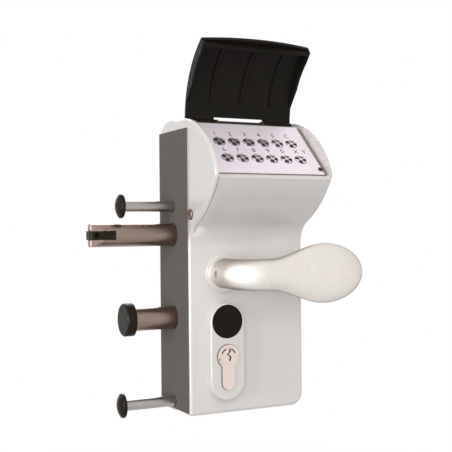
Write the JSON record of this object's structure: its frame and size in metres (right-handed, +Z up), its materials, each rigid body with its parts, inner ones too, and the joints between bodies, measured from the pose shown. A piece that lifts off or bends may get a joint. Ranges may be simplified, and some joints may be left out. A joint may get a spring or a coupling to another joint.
{
  "type": "push button gate lock",
  "caption": "Surface mounted gate lock with a push button keypad under a hinged lid, lever handles on both faces, a key cylinder, a fork ended latch and a deadbolt.",
  "frame": {"origin": "on the face that meets the gate post, midway between the two fixing bolts, in the plane of the bolts and of the latch", "axes": "+X away from the post, +Y from the keypad side to the rear side, +Z up"},
  "size_m": [0.1892, 0.1492, 0.2736],
  "materials": {
    "cover_coat": "silver grey powder coat, satin",
    "case_zinc": "zinc plated sheet",
    "gasket_rubber": "dense foam rubber",
    "plate_stainless": "brushed stainless steel",
    "key_metal": "satin plated zinc",
    "chassis_plastic": "moulded glass filled nylon",
    "spring_steel": "bright spring wire",
    "screw_steel": "stainless screws",
    "lid_plastic": "near black plastic, light gloss",
    "bracket_brown": "dark brown plastic",
    "handle_aluminium": "satin anodised",
    "bush_steel": "turned stainless ring",
    "spindle_steel": "cold drawn square bar",
    "latch_steel": "ground stainless bar",
    "insert_black": "low friction plastic",
    "guide_plastic": "acetal",
    "cylinder_nickel": "satin nickel plated brass",
    "cap_black": "glossy black domed caps",
    "plug_black": "matt black moulding"
  },
  "bodies": {
    "lock_body": {"lock_case": "case_zinc", "case_cover": "case_zinc", "front_cover": "cover_coat", "rear_cover": "cover_coat", "mounting_gasket": "gasket_rubber", "keypad_plate": "plate_stainless", "keypad_chassis": "chassis_plastic", "button_springs": "spring_steel", "plate_screw": "screw_steel", "lid_hinge_bracket": "bracket_brown", "lid_hinge_pins": "spring_steel", "front_handle_bush": "bush_steel", "rear_handle_bush": "bush_steel", "latch_spring": "spring_steel", "latch_guide": "guide_plastic", "deadbolt_guide": "guide_plastic", "cylinder_body": "cylinder_nickel", "cylinder_screw": "screw_steel", "front_blank_plug": "plug_black", "rear_blank_plug": "plug_black", "fixing_bolts": "screw_steel", "bolt_caps": "cap_black", "cover_screws": "screw_steel", "side_screws": "screw_steel"},
    "handle": {"front_handle": "handle_aluminium", "rear_handle": "handle_aluminium", "handle_grub_screws": "screw_steel", "spindle": "spindle_steel", "follower_hub": "spindle_steel"},
    "latch": {"latch_bolt": "latch_steel", "latch_insert": "insert_black", "latch_insert_pin": "spring_steel", "latch_tail": "spindle_steel"},
    "deadbolt": {"deadbolt": "latch_steel", "deadbolt_nose": "insert_black"},
    "key_front": {"cylinder_plug_front": "cylinder_nickel", "cylinder_cam": "spindle_steel"},
    "key_rear": {"cylinder_plug_rear": "cylinder_nickel"},
    "lid": {"lid": "lid_plastic"},
    "button_1": {"button_1": "key_metal"},
    "button_2": {"button_2": "key_metal"},
    "button_3": {"button_3": "key_metal"},
    "button_4": {"button_4": "key_metal"},
    "button_5": {"button_5": "key_metal"},
    "button_6": {"button_6": "key_metal"},
    "button_7": {"button_7": "key_metal"},
    "button_8": {"button_8": "key_metal"},
    "button_9": {"button_9": "key_metal"},
    "button_10": {"button_10": "key_metal"},
    "button_11": {"button_11": "key_metal"},
    "button_12": {"button_12": "key_metal"}
  },
  "joints": [
    {"name": "handle_turn", "type": "hinge", "parent": "lock_body", "child": "handle", "pos_m": [0.0282, 0, 0.0228], "axis": [0, 1, 0], "range_deg": [0, 40], "stiffness_Nm_per_rad": 1.5, "springref_deg": -22.92},
    {"name": "latch_slide", "type": "slide", "parent": "lock_body", "child": "latch", "axis": [1, 0, 0], "range_m": [0, 0.02], "deforming": ["latch_spring"]},
    {"name": "key_turn", "type": "hinge", "parent": "lock_body", "child": "key_front", "pos_m": [0.0282, 0, -0.0372], "axis": [0, 1, 0], "range_deg": [0, 360]},
    {"name": "deadbolt_slide", "type": "slide", "parent": "lock_body", "child": "deadbolt", "axis": [-1, 0, 0], "range_m": [0, 0.02]},
    {"name": "rear_key_turn", "type": "hinge", "parent": "lock_body", "child": "key_rear", "pos_m": [0.0282, 0, -0.0372], "axis": [0, 1, 0], "range_deg": [0, 360]},
    {"name": "lid_hinge", "type": "hinge", "parent": "lock_body", "child": "lid", "pos_m": [0.0485, -0.0165, 0.1346], "axis": [1, 0, 0], "range_deg": [0, 95.2]},
    {"name": "button_1_press", "type": "slide", "parent": "lock_body", "child": "button_1", "axis": [0, 0.6909, -0.723], "range_m": [0, 0.002], "stiffness_N_per_m": 150, "springref_m": -0.002, "deforming": ["button_springs"]},
    {"name": "button_2_press", "type": "slide", "parent": "lock_body", "child": "button_2", "axis": [0, 0.6909, -0.723], "range_m": [0, 0.002], "stiffness_N_per_m": 150, "springref_m": -0.002, "deforming": ["button_springs"]},
    {"name": "button_3_press", "type": "slide", "parent": "lock_body", "child": "button_3", "axis": [0, 0.6909, -0.723], "range_m": [0, 0.002], "stiffness_N_per_m": 150, "springref_m": -0.002, "deforming": ["button_springs"]},
    {"name": "button_4_press", "type": "slide", "parent": "lock_body", "child": "button_4", "axis": [0, 0.6909, -0.723], "range_m": [0, 0.002], "stiffness_N_per_m": 150, "springref_m": -0.002, "deforming": ["button_springs"]},
    {"name": "button_5_press", "type": "slide", "parent": "lock_body", "child": "button_5", "axis": [0, 0.6909, -0.723], "range_m": [0, 0.002], "stiffness_N_per_m": 150, "springref_m": -0.002, "deforming": ["button_springs"]},
    {"name": "button_6_press", "type": "slide", "parent": "lock_body", "child": "button_6", "axis": [0, 0.6909, -0.723], "range_m": [0, 0.002], "stiffness_N_per_m": 150, "springref_m": -0.002, "deforming": ["button_springs"]},
    {"name": "button_7_press", "type": "slide", "parent": "lock_body", "child": "button_7", "axis": [0, 0.6909, -0.723], "range_m": [0, 0.002], "stiffness_N_per_m": 150, "springref_m": -0.002, "deforming": ["button_springs"]},
    {"name": "button_8_press", "type": "slide", "parent": "lock_body", "child": "button_8", "axis": [0, 0.6909, -0.723], "range_m": [0, 0.002], "stiffness_N_per_m": 150, "springref_m": -0.002, "deforming": ["button_springs"]},
    {"name": "button_9_press", "type": "slide", "parent": "lock_body", "child": "button_9", "axis": [0, 0.6909, -0.723], "range_m": [0, 0.002], "stiffness_N_per_m": 150, "springref_m": -0.002, "deforming": ["button_springs"]},
    {"name": "button_10_press", "type": "slide", "parent": "lock_body", "child": "button_10", "axis": [0, 0.6909, -0.723], "range_m": [0, 0.002], "stiffness_N_per_m": 150, "springref_m": -0.002, "deforming": ["button_springs"]},
    {"name": "button_11_press", "type": "slide", "parent": "lock_body", "child": "button_11", "axis": [0, 0.6909, -0.723], "range_m": [0, 0.002], "stiffness_N_per_m": 150, "springref_m": -0.002, "deforming": ["button_springs"]},
    {"name": "button_12_press", "type": "slide", "parent": "lock_body", "child": "button_12", "axis": [0, 0.6909, -0.723], "range_m": [0, 0.002], "stiffness_N_per_m": 150, "springref_m": -0.002, "deforming": ["button_springs"]}
  ],
  "couplings": [
    {"joint": "latch_slide", "follows": "handle_turn", "m_per_rad": 0.02864},
    {"joint": "key_turn", "follows": "deadbolt_slide", "rad_per_m": 314.16}
  ]
}
